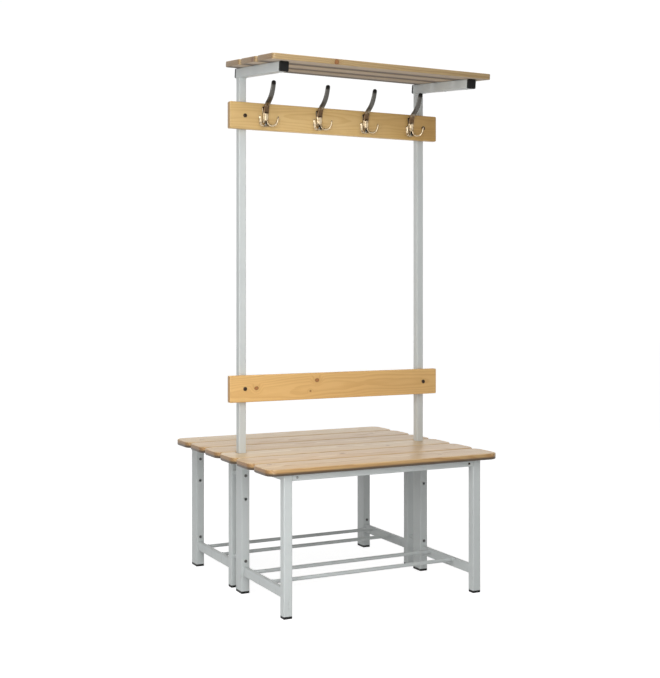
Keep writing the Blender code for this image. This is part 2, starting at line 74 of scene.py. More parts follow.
def calc(tree, operation, *values, clamp=False):
    plugs = dict(enumerate(values))
    return addNode(tree, "Math", plugs, operation=operation, use_clamp=clamp).outputs[0]


def times(tree, first, second):
    return calc(tree, "MULTIPLY", first, second)


def plus(tree, first, second, clamp=False):
    return calc(tree, "ADD", first, second, clamp=clamp)


def vecCalc(tree, operation, *values):
    made = addNode(tree, "VectorMath", dict(enumerate(values)), operation=operation)
    return made.outputs["Value" if operation in ("LENGTH", "DOT_PRODUCT") else "Vector"]


def blendColor(tree, share, first, second, way="MIX"):
    made = addNode(tree, "Mix", {0: share, 6: first, 7: second}, data_type="RGBA", blend_type=way)
    return made.outputs[2]


def ramp(tree, value, low, high, outLow=0.0, outHigh=1.0, smooth=True):
    made = addNode(tree, "MapRange", {
        "Value": value, "From Min": low, "From Max": high, "To Min": outLow, "To Max": outHigh})
    made.interpolation_type = "SMOOTHSTEP" if smooth else "LINEAR"
    return made.outputs["Result"]


def noise(tree, vector, scale=1.0, detail=2.0, rough=0.5):
    made = addNode(tree, "TexNoise", {
        "Vector": vector, "Scale": scale, "Detail": detail, "Roughness": rough})
    return made.outputs[0]


def swing(tree, value, size):
    # Noise of 0 to 1 as a swing round zero
    return calc(tree, "MULTIPLY_ADD", value, size, -size / 2)


def stretched(tree, vector, stretch, detail=2.0, rough=0.5):
    return noise(tree, vecCalc(tree, "MULTIPLY", vector, stretch), 1, detail, rough)


def scaled(tree, vector, size):
    return addNode(tree, "VectorMath", {0: vector, "Scale": size}, operation="SCALE").outputs[0]


def axes(tree, vector):
    return addNode(tree, "SeparateXYZ", {0: vector}).outputs


def openness(tree, reach, samples):
    # 1 in the open, less in gaps and corners
    return addNode(tree, "AmbientOcclusion", {"Distance": reach}, samples=samples).outputs["AO"]


def softEdges(tree, radius):
    return addNode(tree, "Bevel", {"Radius": radius}, samples=4).outputs[0]


def seenDirectly(tree):
    # 1 for camera, mirror and glass rays, 0 for the rays that light the object
    path = addNode(tree, "LightPath").outputs
    seen = plus(tree, path["Is Camera Ray"], path["Is Glossy Ray"])
    return plus(tree, seen, path["Is Transmission Ray"], clamp=True)


def newGroup(name, ins, outs):
    tree = bpy.data.node_groups.new(name, "ShaderNodeTree")
    for label, kind, value in ins:
        socket = tree.interface.new_socket(label, in_out="INPUT", socket_type="NodeSocket" + kind)
        socket.default_value = value
    for label, kind in outs:
        tree.interface.new_socket(label, in_out="OUTPUT", socket_type="NodeSocket" + kind)
    return tree, tree.nodes.new("NodeGroupInput").outputs, tree.nodes.new("NodeGroupOutput").inputs


# Shared effects

knotLook = {"wobbleScale": 160, "wobble": 0.7, "core": (0.7, 1.1), "rim": (0.45, 0.9), "halo": (0.6, 3.6)}


def makeKnotMark(look):
    tree, given, out = newGroup("knotMark", [
        ("Vector", "Vector", (0, 0, 0)), ("Centre", "Vector", (0, 0, 0)), ("Flat", "Vector", (1, 1, 1)),
        ("Radius", "Float", 0.006)], [("Core", "Float"), ("Rim", "Float"), ("Halo", "Float")])
    offset = vecCalc(tree, "SUBTRACT", given["Vector"], given["Centre"])
    away = vecCalc(tree, "MULTIPLY", offset, given["Flat"])
    wobble = noise(tree, given["Vector"], look["wobbleScale"])
    far = calc(tree, "DIVIDE", vecCalc(tree, "LENGTH", away), given["Radius"])
    far = plus(tree, far, swing(tree, wobble, look["wobble"]))
    core = ramp(tree, far, *look["core"], 1, 0)
    rim = times(tree, core, ramp(tree, far, *look["rim"]))
    feed(tree, out, {"Core": core, "Rim": rim, "Halo": ramp(tree, far, *look["halo"], 1, 0)})
    return tree


grainLook = {
    "slow": (2.2, 9, 9), "slowBend": 0.034, "wave": (9, 34, 34), "waveBend": 0.005,     # rings that wander
    "darken": (0.25, 0.88), "lighten": (0.9, 1), "faintYear": 0.45,     # within one ring
    "fibre": (7, 300, 300), "fibreDetail": (3, 0.6), "fibreShare": (0.5, -0.2),
    "broad": (2, 40, 40), "broadShare": 0.5,
}


def makePineGrain(look):
    # Rings round a heart line along X, with fibre streaks; end grain comes by itself
    tree, given, out = newGroup("pineGrain", [
        ("Vector", "Vector", (0, 0, 0)), ("Heart", "Vector", (0, 0, 0)), ("Lean", "Vector", (0, 0, 0)),
        ("Rings", "Float", 200), ("Push", "Float", 0), ("Seed", "Float", 0),
        ("Early", "Color", (1, 1, 1, 1)), ("Late", "Color", (0, 0, 0, 1)), ("Figure", "Float", 0.6)],
        [("Color", "Color"), ("Dense", "Float"), ("Fibre", "Float")])
    point = given["Vector"]
    along = axes(tree, point)[0]
    seedShift = addNode(tree, "CombineXYZ", {0: given["Seed"], 1: given["Seed"], 2: given["Seed"]})
    seeded = vecCalc(tree, "ADD", point, seedShift.outputs[0])
    leaned = scaled(tree, given["Lean"], along)
    offset = vecCalc(tree, "SUBTRACT", vecCalc(tree, "SUBTRACT", point, given["Heart"]), leaned)
    across = vecCalc(tree, "MULTIPLY", offset, (0, 1, 1))
    radius = plus(tree, vecCalc(tree, "LENGTH", across), given["Push"])
    radius = plus(tree, radius, swing(tree, stretched(tree, seeded, look["slow"]), look["slowBend"]))
    radius = plus(tree, radius, swing(tree, stretched(tree, seeded, look["wave"]), look["waveBend"]))
    turns = times(tree, radius, given["Rings"])
    place = calc(tree, "FRACT", turns)
    dense = ramp(tree, place, *look["darken"])
    dense = times(tree, dense, ramp(tree, place, *look["lighten"], 1, 0))
    year = addNode(tree, "TexWhiteNoise", {"W": calc(tree, "FLOOR", turns)}, noise_dimensions="1D")
    dense = times(tree, dense, ramp(tree, year.outputs["Value"], 0, 1, look["faintYear"], 1))
    fibre = stretched(tree, seeded, look["fibre"], *look["fibreDetail"])
    broad = stretched(tree, seeded, look["broad"])
    share = times(tree, dense, given["Figure"])
    share = plus(tree, share, calc(tree, "MULTIPLY_ADD", fibre, *look["fibreShare"]))
    share = plus(tree, share, swing(tree, broad, look["broadShare"]), clamp=True)
    color = blendColor(tree, share, given["Early"], given["Late"])
    feed(tree, out, {"Color": color, "Dense": dense, "Fibre": fibre})
    return tree


rubLook = {"samples": 6, "turn": (0.995, 0.85), "spots": (0.45, 0.68)}


def makeEdgeRub(look):
    # Mask of the outer edges, broken up by noise
    tree, given, out = newGroup("edgeRub", [
        ("Vector", "Vector", (0, 0, 0)), ("Reach", "Float", 0.0015), ("Breakup", "Float", 60)],
        [("Edge", "Float"), ("Worn", "Float")])
    rounded = addNode(tree, "Bevel", {"Radius": given["Reach"]}, samples=look["samples"])
    flat = addNode(tree, "NewGeometry")
    facing = vecCalc(tree, "DOT_PRODUCT", rounded.outputs[0], flat.outputs["True Normal"])
    edge = ramp(tree, facing, *look["turn"])
    spots = noise(tree, given["Vector"], given["Breakup"], 3, 0.6)
    worn = times(tree, edge, ramp(tree, spots, *look["spots"]))
    feed(tree, out, {"Edge": edge, "Worn": worn})
    return tree


skinLook = {"peelScale": 520, "cloudScale": 9, "speckScale": 1400, "cloud": (0.12, 0.94), "speck": 0.05,
            "scuff": (60, 60, 22), "scuffSpan": (0.54, 0.72), "scuffShare": 0.45,
            "roughness": (0.14, 0.36), "scuffRoughness": 0.3}


def makePaintSkin(look):
    # Powder coat: fine orange peel, faint clouds, and scuffs low down near the floor
    tree, given, out = newGroup("paintSkin", [
        ("Vector", "Vector", (0, 0, 0)), ("Color", "Color", (1, 1, 1, 1)),
        ("Scuff Color", "Color", (0, 0, 0, 1)), ("Scuff Height", "Float", 0.12)],
        [("Color", "Color"), ("Roughness", "Float"), ("Height", "Float")])
    point = given["Vector"]
    peel = noise(tree, point, look["peelScale"])
    cloud = noise(tree, point, look["cloudScale"], 3)
    speck = noise(tree, point, look["speckScale"], 1)
    bright = calc(tree, "MULTIPLY_ADD", cloud, *look["cloud"])
    bright = plus(tree, bright, swing(tree, speck, look["speck"]))
    color = scaled(tree, given["Color"], bright)
    low = ramp(tree, axes(tree, point)[2], 0, given["Scuff Height"], 1, 0)
    marks = ramp(tree, stretched(tree, point, look["scuff"], 4, 0.65), *look["scuffSpan"])
    scuff = times(tree, times(tree, low, marks), look["scuffShare"])
    color = blendColor(tree, scuff, color, given["Scuff Color"])
    rough = calc(tree, "MULTIPLY_ADD", cloud, *look["roughness"])
    rough = plus(tree, rough, times(tree, scuff, look["scuffRoughness"]))
    feed(tree, out, {"Color": color, "Roughness": rough, "Height": peel})
    return tree


knotMark = makeKnotMark(knotLook)
pineGrain = makePineGrain(grainLook)
edgeRub = makeEdgeRub(rubLook)
paintSkin = makePaintSkin(skinLook)
print("shader groups made")


# Materials

def newMaterial(name):
    material = bpy.data.materials.new(name)
    material.use_nodes = True
    tree = material.node_tree
    tree.nodes.clear()
    shader = addNode(tree, "BsdfPrincipled")
    addNode(tree, "OutputMaterial", {"Surface": shader.outputs[0]})
    where = addNode(tree, "TexCoord").outputs["Object"]
    return material, tree, shader.inputs, where


def placeGroup(tree, group, plugs):
    return addNode(tree, "Group", plugs, node_tree=group).outputs


def rubbedEdges(tree, where, look):
    return placeGroup(tree, edgeRub, {
        "Vector": where, "Reach": look["wornReach"], "Breakup": look["wornBreakup"]})


def addBump(tree, shader, height, distance, strength, under=None):
    plugs = {"Height": height, "Distance": distance, "Strength": strength}
    if under is not None:
        plugs["Normal"] = under
    tree.links.new(addNode(tree, "Bump", plugs).outputs[0], shader["Normal"])


pineLook = {
    "rings": 190,               # growth rings per metre
    "roughness": (0.36, 0.52),
    "coat": 0.22,               # clear lacquer
    "coatRoughness": 0.22,
    "knotColor": srgb(166, 102, 44), "knotRim": srgb(128, 76, 34),
    "knotPush": 1.6,            # how far a knot bends the rings, in its own radius
    "knotHalo": 0.3, "knotCore": 0.85,
    "edgeColor": srgb(226, 194, 142), "wornReach": 0.002, "wornBreakup": 40.0, "wornShare": 0.4,
    # painted shade: side faces of the seat slats darker than their tops
    "sideShadeTint": (0.76, 0.66, 0.50, 1.0),
    "footShadeTint": srgb(72, 54, 30), "footShadeSpan": (0.005, 0.012),   # painted shade on the lower rim of a seat slat
    "underColor": srgb(222, 207, 190), "underShare": 0.8,
    "underShade": (0.34, 0.34, 0.355, 1.0),
    "underRoughness": 0.9,
    # painted shade: side faces of the shelf slats darker, as in the gaps seen from below
    "edgeShadeTint": (0.76, 0.77, 0.76, 1.0),
    "endTint": (0.62, 0.54, 0.44, 1.0),
    "endTurn": (0.6, 0.95), "sideShadeTurn": (0.75, 0.25), "edgeShadeTurn": (0.8, 0.4), "underTurn": (-0.6, -0.95),
    # painted shade in gaps and corners of the wood
    "gapShadeTint": srgb(84, 66, 44), "gapShadeReach": 0.03, "gapShadeSpan": (0.4, 0.8),
    "fibreDepth": 0.00025, "fibreStrength": 0.35,
}


def makePine(name, wood, look, foot=None, under=None):
    material, tree, shader, where = newMaterial(name)
    push = 0.0
    marks = []
    for x, y, z, size in wood["knots"]:
        mark = placeGroup(tree, knotMark, {
            "Vector": where, "Centre": (x, y, z), "Flat": wood["knotFlat"], "Radius": size})
        marks.append(mark)
        push = plus(tree, push, times(tree, mark["Halo"], size * look["knotPush"]))
    grain = placeGroup(tree, pineGrain, {
        "Vector": where, "Heart": wood["heart"], "Lean": wood["lean"], "Rings": look["rings"],
        "Push": push, "Seed": wood["seed"], "Early": wood["early"], "Late": wood["late"],
        "Figure": wood["figure"]})
    color = grain["Color"]
    for mark in marks:
        halo = times(tree, mark["Halo"], look["knotHalo"])
        core = times(tree, mark["Core"], look["knotCore"])
        color = blendColor(tree, halo, color, wood["late"])
        color = blendColor(tree, core, color, look["knotColor"])
        color = blendColor(tree, mark["Rim"], color, look["knotRim"])
    rubbed = times(tree, rubbedEdges(tree, where, look)["Edge"], look["wornShare"])
    color = blendColor(tree, rubbed, color, look["edgeColor"])
    # painted shade in gaps and corners, darker where the wood is hemmed in
    clear = openness(tree, look["gapShadeReach"], 6)
    gapShade = ramp(tree, clear, *look["gapShadeSpan"], wood["gapShadeShare"], 0)
    color = blendColor(tree, gapShade, color, look["gapShadeTint"])
    spot = axes(tree, where)
    facing = axes(tree, addNode(tree, "NewGeometry").outputs["True Normal"])
    endward = ramp(tree, calc(tree, "ABSOLUTE", facing[0]), *look["endTurn"])
    color = blendColor(tree, endward, color, look["endTint"], "MULTIPLY")
    if foot is not None:        # slats seen from above: height of the underside
        # painted shade: side faces of the seat slats darker than their tops
        side = ramp(tree, facing[2], *look["sideShadeTurn"])
        color = blendColor(tree, side, color, look["sideShadeTint"], "MULTIPLY")
        # painted shade: a seat slat darker towards its lower rim
        start, end = [foot + rise for rise in look["footShadeSpan"]]
        color = blendColor(tree, ramp(tree, spot[2], start, end, 1, 0), color, look["footShadeTint"])
    rough = ramp(tree, grain["Dense"], 0, 1, *look["roughness"])
    coat = look["coat"]
    if under is not None:       # slats seen from below: bare underside, with painted shade over this span to the rear
        # painted shade: side faces of the shelf slats darker, as in the gaps seen from below
        side = ramp(tree, facing[2], *look["edgeShadeTurn"])
        color = blendColor(tree, side, color, look["edgeShadeTint"], "MULTIPLY")
        below = ramp(tree, facing[2], *look["underTurn"])
        bare = times(tree, below, look["underShare"])
        color = blendColor(tree, bare, color, look["underColor"])
        # painted shade on the underside, towards each slat's rear edge
        rear = times(tree, below, ramp(tree, spot[1], *under))
        color = blendColor(tree, rear, color, look["underShade"], "MULTIPLY")
        rough = calc(tree, "MAXIMUM", rough, times(tree, below, look["underRoughness"]))
        coat = calc(tree, "MULTIPLY_ADD", below, -look["coat"], look["coat"])
    for start, end, tint in wood.get("tones", ()):      # colour multiplied darker along X, from each span's start to its end
        color = blendColor(tree, ramp(tree, spot[0], start, end), color, tint, "MULTIPLY")
    height = plus(tree, grain["Fibre"], grain["Dense"])
    addBump(tree, shader, height, look["fibreDepth"], look["fibreStrength"])
    feed(tree, shader, {"Base Color": color, "Roughness": rough, "Coat Weight": coat,
                        "Coat Roughness": look["coatRoughness"]})
    return material


paintLook = {
    "color": srgb(214, 219, 218),
    "scuffColor": srgb(140, 142, 140),
    "wornColor": srgb(168, 172, 171), "wornReach": 0.0012, "wornBreakup": 45.0, "wornShare": 0.5,
    "peelDepth": 0.00012, "peelStrength": 0.3,
    "edge": 0.0008,             # rounding of the solids' sharp edges
}


def makePaint(look):
    material, tree, shader, where = newMaterial("greyPaint")
    skin = placeGroup(tree, paintSkin, {
        "Vector": where, "Color": look["color"], "Scuff Color": look["scuffColor"]})
    worn = times(tree, rubbedEdges(tree, where, look)["Worn"], look["wornShare"])
    color = blendColor(tree, worn, skin["Color"], look["wornColor"])
    feed(tree, shader, {"Base Color": color, "Roughness": skin["Roughness"]})
    soft = softEdges(tree, look["edge"])
    addBump(tree, shader, skin["Height"], look["peelDepth"], look["peelStrength"], soft)
    return material


plasticLook = {
    "color": srgb(6, 6, 6),
    "dust": srgb(22, 22, 21), "dustScale": 55, "dustSpan": (0.5, 0.8), "dustShare": 0.5,
    "wornReach": 0.001, "wornBreakup": 90.0, "wornShare": 0.4,
    "grainScale": 900, "grainDepth": 0.00015, "grainStrength": 0.4,
    "roughness": (0.42, 0.62), "gloss": 0.25, "edge": 0.0008,
}


def makePlastic(look):
    material, tree, shader, where = newMaterial("blackPlastic")
    grain = noise(tree, where, look["grainScale"])
    clouds = noise(tree, where, look["dustScale"], 4, 0.6)
    dust = ramp(tree, clouds, *look["dustSpan"], 0, look["dustShare"])
    worn = times(tree, rubbedEdges(tree, where, look)["Worn"], look["wornShare"])
    share = plus(tree, dust, worn, clamp=True)
    color = blendColor(tree, share, look["color"], look["dust"])
    rough = ramp(tree, grain, 0, 1, *look["roughness"])
    soft = softEdges(tree, look["edge"])
    addBump(tree, shader, grain, look["grainDepth"], look["grainStrength"], soft)
    feed(tree, shader, {"Base Color": color, "Roughness": rough, "Specular IOR Level": look["gloss"]})
    return material


steelLook = {
    "bright": srgb(206, 187, 156),
    # smudges, partly real dirt and partly painted dark reflection
    "smudgeAndReflection": srgb(98, 74, 44), "smudgeAndReflectionScale": 120, "smudgeAndReflectionSpan": (0.46, 0.7), "smudgeAndReflectionShare": 0.75,
    # painted shade in the hook's creases and corners
    "corner": srgb(38, 27, 15), "cornerReach": 0.015, "cornerSpan": (0.4, 0.95), "cornerShare": 0.9,
    # painted reflection and shade: a dark brown band on the neck
    "neckReflection": srgb(78, 54, 32), "neckReflectionSpan": (0.006, 0.013, 0.030, 0.040),     # spans above the hook's middle
    "neckReflectionShare": 0.9,
    # painted dark reflection on the long prong
    "prongReflection": srgb(92, 90, 86), "prongSpan": (0.030, 0.044),
    "tip": srgb(36, 34, 32), "tipSpan": (0.088, 0.096),
    "plate": 0.004, "plateFade": 0.002,     # thickness kept out of the painted neck reflection
    "roughSpan": (0.3, 0.8), "roughness": (0.1, 0.24), "prongRoughness": 0.14,
    "lines": (2600, 160, 160), "lineDepth": 0.00003, "lineStrength": 0.25,
}


def makeHookSteel(zCentre, yBoard, look):
    # Polished body with smudges that are partly painted reflection, painted shade in its creases, painted
    # reflection darkening the neck and the long prong, and a dark tip
    material, tree, shader, where = newMaterial("hookSteel")
    spot = axes(tree, where)
    rise = calc(tree, "SUBTRACT", spot[2], zCentre)
    prong = ramp(tree, rise, *look["prongSpan"])
    # painted reflection and shade: a dark brown band on the neck
    start, full, fade, end = look["neckReflectionSpan"]
    neckReflection = times(tree, ramp(tree, rise, start, full), ramp(tree, rise, fade, end, 1, 0))
    front = yBoard - look["plate"]
    plate = ramp(tree, spot[1], front - look["plateFade"], front, look["neckReflectionShare"], 0)
    neckReflection = times(tree, neckReflection, plate)
    tip = ramp(tree, rise, *look["tipSpan"])
    # smudges, partly real dirt and partly painted dark reflection
    smear = noise(tree, where, look["smudgeAndReflectionScale"], 4, 0.6)
    smudgeAndReflection = ramp(tree, smear, *look["smudgeAndReflectionSpan"], 0, look["smudgeAndReflectionShare"])
    color = blendColor(tree, smudgeAndReflection, look["bright"], look["smudgeAndReflection"])
    # painted shade in the hook's creases and corners
    clear = openness(tree, look["cornerReach"], 8)
    corner = ramp(tree, clear, *look["cornerSpan"], look["cornerShare"], 0)
    color = blendColor(tree, corner, color, look["corner"])
    # painted dark reflection on the long prong
    color = blendColor(tree, prong, color, look["prongReflection"])
    color = blendColor(tree, neckReflection, color, look["neckReflection"])
    color = blendColor(tree, tip, color, look["tip"])
    rough = ramp(tree, smear, *look["roughSpan"], *look["roughness"])
    rough = plus(tree, rough, times(tree, prong, look["prongRoughness"]))
    lines = stretched(tree, where, look["lines"])
    addBump(tree, shader, lines, look["lineDepth"], look["lineStrength"])
    feed(tree, shader, {"Base Color": color, "Roughness": rough, "Metallic": 1.0})
    return material


screwSteelLook = {"wornReach": 0.0006, "wornBreakup": 300.0, "wornShare": 0.8,
                  "spotScale": 700, "spotSpan": (0.55, 0.8), "spotShare": 0.35, "roughSpan": (0.2, 0.8),
                  "spotDepth": 0.00006, "spotStrength": 0.3, "edge": 0.0004}
screwSteels = {
    "darkSteel": {"color": (62, 50, 40), "worn": (120, 108, 96), "metal": 0.8, "rough": (0.32, 0.54)},
    "zincSteel": {"color": (142, 144, 142), "worn": (190, 190, 186), "metal": 0.9, "rough": (0.3, 0.52)},
    "boltSteel": {"color": (92, 92, 90), "worn": (150, 150, 146), "metal": 0.8, "rough": (0.32, 0.54)},
}


def makeScrewSteel(name, steel, look):
    material, tree, shader, where = newMaterial(name)
    spots = noise(tree, where, look["spotScale"], 3, 0.6)
    rubbed = times(tree, rubbedEdges(tree, where, look)["Worn"], look["wornShare"])
    spotted = ramp(tree, spots, *look["spotSpan"], 0, look["spotShare"])
    share = plus(tree, rubbed, spotted, clamp=True)
    color = blendColor(tree, share, srgb(*steel["color"]), srgb(*steel["worn"]))
    rough = ramp(tree, spots, *look["roughSpan"], *steel["rough"])
    addBump(tree, shader, spots, look["spotDepth"], look["spotStrength"], softEdges(tree, look["edge"]))
    feed(tree, shader, {"Base Color": color, "Roughness": rough, "Metallic": steel["metal"]})
    return material


greyPaint = makePaint(paintLook)
blackPlastic = makePlastic(plasticLook)
darkSteel, zincSteel, boltSteel = [
    makeScrewSteel(name, steel, screwSteelLook) for name, steel in screwSteels.items()]
print("materials made: paint, plastic, screws")


# Mesh helpers

def newObject(name, mesh, material, smoothAngle=35):
    mesh.shade_smooth()
    mesh.set_sharp_from_angle(angle=math.radians(smoothAngle))
    mesh.materials.clear()
    mesh.materials.append(material)
    piece = bpy.data.objects.new(name, mesh)
    scene.collection.objects.link(piece)
    return piece


def bmeshToMesh(bm, name):
    bmesh.ops.recalc_face_normals(bm, faces=bm.faces)
    mesh = bpy.data.meshes.new(name)
    bm.to_mesh(mesh)
    bm.free()
    return mesh


def cornerArc(middle, radius, start, steps):
    turn = math.pi / 2 / steps
    return [(middle[0] + radius * math.cos(start + i * turn), middle[1] + radius * math.sin(start + i * turn))
            for i in range(steps + 1)]


def roundedRectangle(low, high, look):
    radius = look["corner"]
    left, right = low[0] + radius, high[0] - radius
    bottom, top = low[1] + radius, high[1] - radius
    corners = [((right, top), 0), ((left, top), math.pi / 2), ((left, bottom), math.pi),
               ((right, bottom), math.pi * 1.5)]
    steps = look["cornerSteps"]
    return [point for middle, start in corners for point in cornerArc(middle, radius, start, steps)]


def circle(radius, sides):
    turns = [2 * math.pi * i / sides for i in range(sides)]
    return [(radius * math.cos(turn), radius * math.sin(turn)) for turn in turns]


def skinRows(bm, rows):
    for first, second in zip(rows, rows[1:]):
        for i in range(len(first)):
            j = (i + 1) % len(first)
            bm.faces.new((first[i], first[j], second[j], second[i]))


def closeEnds(bm, rows):
    bm.faces.new(rows[0])
    bm.faces.new(rows[-1])


def slabMesh(name, outline, low, high, look, standing=False):
    # Flat slab from an outline, all its rim edges rounded; standing turns the outline up into XZ
    bm = bmesh.new()
    if standing:
        rim = [bm.verts.new((u, low, v)) for u, v in outline]
        rise = Vector((0, high - low, 0))
    else:
        rim = [bm.verts.new((u, v, low)) for u, v in outline]
        rise = Vector((0, 0, high - low))
    base = bm.faces.new(rim)
    top = bmesh.ops.extrude_face_region(bm, geom=[base])
    moved = [item for item in top["geom"] if isinstance(item, bmesh.types.BMVert)]
    bmesh.ops.translate(bm, verts=moved, vec=rise)
    rims = [item for item in bm.edges
            if abs((item.verts[1].co - item.verts[0].co).normalized().dot(rise.normalized())) < 0.5]
    bmesh.ops.bevel(bm, geom=rims, offset=look["edge"], segments=look["edgeSteps"], profile=0.5,
                    affect="EDGES", clamp_overlap=True)
    return bmeshToMesh(bm, name)


def combined(name, meshes, operation):
    # First mesh joined with the others, or cut by them
    made = []
    for number, mesh in enumerate(meshes):
        item = bpy.data.objects.new(f"{name}{number}", mesh)
        scene.collection.objects.link(item)
        made.append(item)
    for tool in made[1:]:
        change = made[0].modifiers.new("change", "BOOLEAN")
        change.operation = operation
        change.object = tool
    bpy.context.view_layer.update()
    ready = made[0].evaluated_get(bpy.context.evaluated_depsgraph_get())
    mesh = bpy.data.meshes.new_from_object(ready)
    mesh.name = name
    for item in made:
        bpy.data.objects.remove(item, do_unlink=True)
    return mesh


def turnedMesh(name, profile, sides):
    # Profile of (radius, height) pairs turned round Z, closed on the axis at both ends
    bm = bmesh.new()
    rows = []
    for radius, height in profile:
        if radius < 1e-7:
            rows.append([bm.verts.new((0, 0, height))])
        else:
            rows.append([bm.verts.new((x, y, height)) for x, y in circle(radius, sides)])
    for first, second in zip(rows, rows[1:]):
        for i in range(sides):
            corners = [first[i % len(first)], first[(i + 1) % len(first)],
                       second[(i + 1) % len(second)], second[i % len(second)]]
            bm.faces.new(list(dict.fromkeys(corners)))
    return bmeshToMesh(bm, name)


def repeated(name, template, places):
    # One mesh of many copies, each by its own matrix
    bm = bmesh.new()
    for place in places:
        before = len(bm.verts)
        bm.from_mesh(template)
        bm.verts.ensure_lookup_table()
        bmesh.ops.transform(bm, matrix=place, verts=bm.verts[before:])
    return bmeshToMesh(bm, name)


def boxMiddle(node):
    low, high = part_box(node)
    return (low + high) / 2


benches = ("front_bench", "rear_bench")
sides = ("left", "right")


# Seat slats, shelf slats and the two boards

slatLook = {"corner": 0.030, "cornerSteps": 14, "edge": 0.0035, "edgeSteps": 4,
            "notch": 0.027, "notchRadius": 0.002, "notchGap": 0.001,
            "figure": 0.7, "knotFlat": (0.7, 1, 0.05), "gapShadeShare": 0.05}
shelfLook = {"corner": 0.010, "cornerSteps": 8, "edge": 0.0025, "edgeSteps": 4, "wide": 0.116, "thick": 0.018,
             "early": srgb(206, 174, 124), "late": srgb(164, 128, 80),
             "figure": 0.6, "knotFlat": (0.8, 0.7, 0.7), "gapShadeShare": 0.6,
             "shade": (0.055, 0.085)}       # from a slat's front, where painted shade darkens its underside
boardLook = {"corner": 0.004, "cornerSteps": 6, "edge": 0.0022, "edgeSteps": 4,
             "knotFlat": (0.8, 0.05, 1), "gapShadeShare": 0.3}

seatEarly = [srgb(227, 196, 149), srgb(227, 194, 146), srgb(232, 204, 160)]
seatLate = [srgb(190, 145, 94), srgb(186, 141, 88), srgb(198, 156, 104)]

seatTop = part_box("front_bench_seat_slat_1")[1].z
seatPlanks = {
    "front_bench_seat_slat_1": {
        "heart": (0, -0.33, 0.395), "lean": (0, 0.04, 0.012), "seed": 1.7,
        "knots": [(-0.352, -0.300, seatTop, 0.0055), (0.21, -0.352, seatTop, 0.004)]},
    "front_bench_seat_slat_2": {
        "heart": (0, -0.22, 0.388), "lean": (0, -0.05, -0.015), "seed": 4.1,
        "knots": [(-0.05, -0.19, seatTop, 0.006)]},
    "front_bench_seat_slat_3": {
        "heart": (0, -0.05, 0.392), "lean": (0, 0.03, 0.02), "seed": 7.9,
        "knots": [(0.17, -0.09, seatTop, 0.005)]},
    "rear_bench_seat_slat_1": {
        "heart": (0, 0.08, 0.400), "lean": (0, -0.03, 0.015), "seed": 11.3, "knots": []},
    "rear_bench_seat_slat_2": {
        "heart": (0, 0.19, 0.390), "lean": (0, 0.05, -0.01), "seed": 15.2,
        "knots": [(0.28, 0.22, seatTop, 0.0055)]},
    "rear_bench_seat_slat_3": {
        "heart": (0, 0.35, 0.394), "lean": (0, -0.04, 0.012), "seed": 19.6,
        "knots": [(-0.33, 0.33, seatTop, 0.005)]},
}


def notchedOutline(low, high, look, notchFront):
    # Slat outline with two notches in its rear edge for the uprights
    outline = roundedRectangle(low, high, look)
    split = look["cornerSteps"] + 1
    quarter = (0, math.pi / 4, math.pi / 2)
    half, r = look["notch"] / 2, look["notchRadius"]
    rear = []
    for node in ("upright_right", "upright_left"):
        middle = boxMiddle(node).x
        rear.append((middle + half, high[1]))
        rear += [(middle + half - r + r * math.cos(a), notchFront + r - r * math.sin(a)) for a in quarter]
        rear += [(middle - half + r - r * math.sin(a), notchFront + r - r * math.cos(a)) for a in quarter]
        rear.append((middle - half, high[1]))
    return outline[:split] + rear + outline[split:]


for number, (node, plank) in enumerate(seatPlanks.items()):
    low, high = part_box(node)
    colors = {"early": seatEarly[number % 3], "late": seatLate[number % 3]}
    pine = makePine(f"seatPine{number + 1}", {**slatLook, **plank, **colors}, pineLook, foot=low.z)
    if node == "front_bench_seat_slat_3":
        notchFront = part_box("upright_left")[0].y - slatLook["notchGap"]
        outline = notchedOutline(low.xy, high.xy, slatLook, notchFront)
    else:
        outline = roundedRectangle(low.xy, high.xy, slatLook)
    mesh = slabMesh(node + "_plank", outline, low.z, high.z, slatLook)
    piece = newObject(node + "_plank", mesh, pine)
    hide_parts(node)
    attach(piece, "root")

shelfPlanks = {
    "shelf_slat_1": {"heart": (0, -0.345, 1.600), "lean": (0, 0.03, 0.01), "seed": 23.4,
                     "knots": [(-0.171, -0.3856, 1.6335, 0.0065)]},
    "shelf_slat_2": {"heart": (0, -0.19, 1.605), "lean": (0, -0.03, 0.012), "seed": 27.7,
                     "knots": [(-0.38, -0.236, 1.648, 0.0045), (0.12, -0.18, 1.663, 0.005)]},
    "shelf_slat_3": {"heart": (0, -0.08, 1.622), "lean": (0, 0.04, -0.01), "seed": 31.8, "knots": []},
}

shelfRise = boxMiddle("shelf_slat_3") - boxMiddle("shelf_slat_1")
shelfSlope = math.atan2(shelfRise.z, shelfRise.y)        # the shelf falls towards the front
shelfLean = Matrix.Rotation(shelfSlope, 4, "X")

for number, (node, plank) in enumerate(shelfPlanks.items()):
    low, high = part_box(node)
    shade = [low.y + reach for reach in shelfLook["shade"]]
    pine = makePine(f"shelfPine{number + 1}", {**shelfLook, **plank}, pineLook, under=shade)
    half = Vector(((high.x - low.x) / 2, shelfLook["wide"] / 2, shelfLook["thick"] / 2))
    outline = roundedRectangle(-half.xy, half.xy, shelfLook)
    mesh = slabMesh(node + "_plank", outline, -half.z, half.z, shelfLook)
    mesh.transform(Matrix.Translation(boxMiddle(node)) @ shelfLean)
    piece = newObject(node + "_plank", mesh, pine)
    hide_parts(node)
    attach(piece, "root")

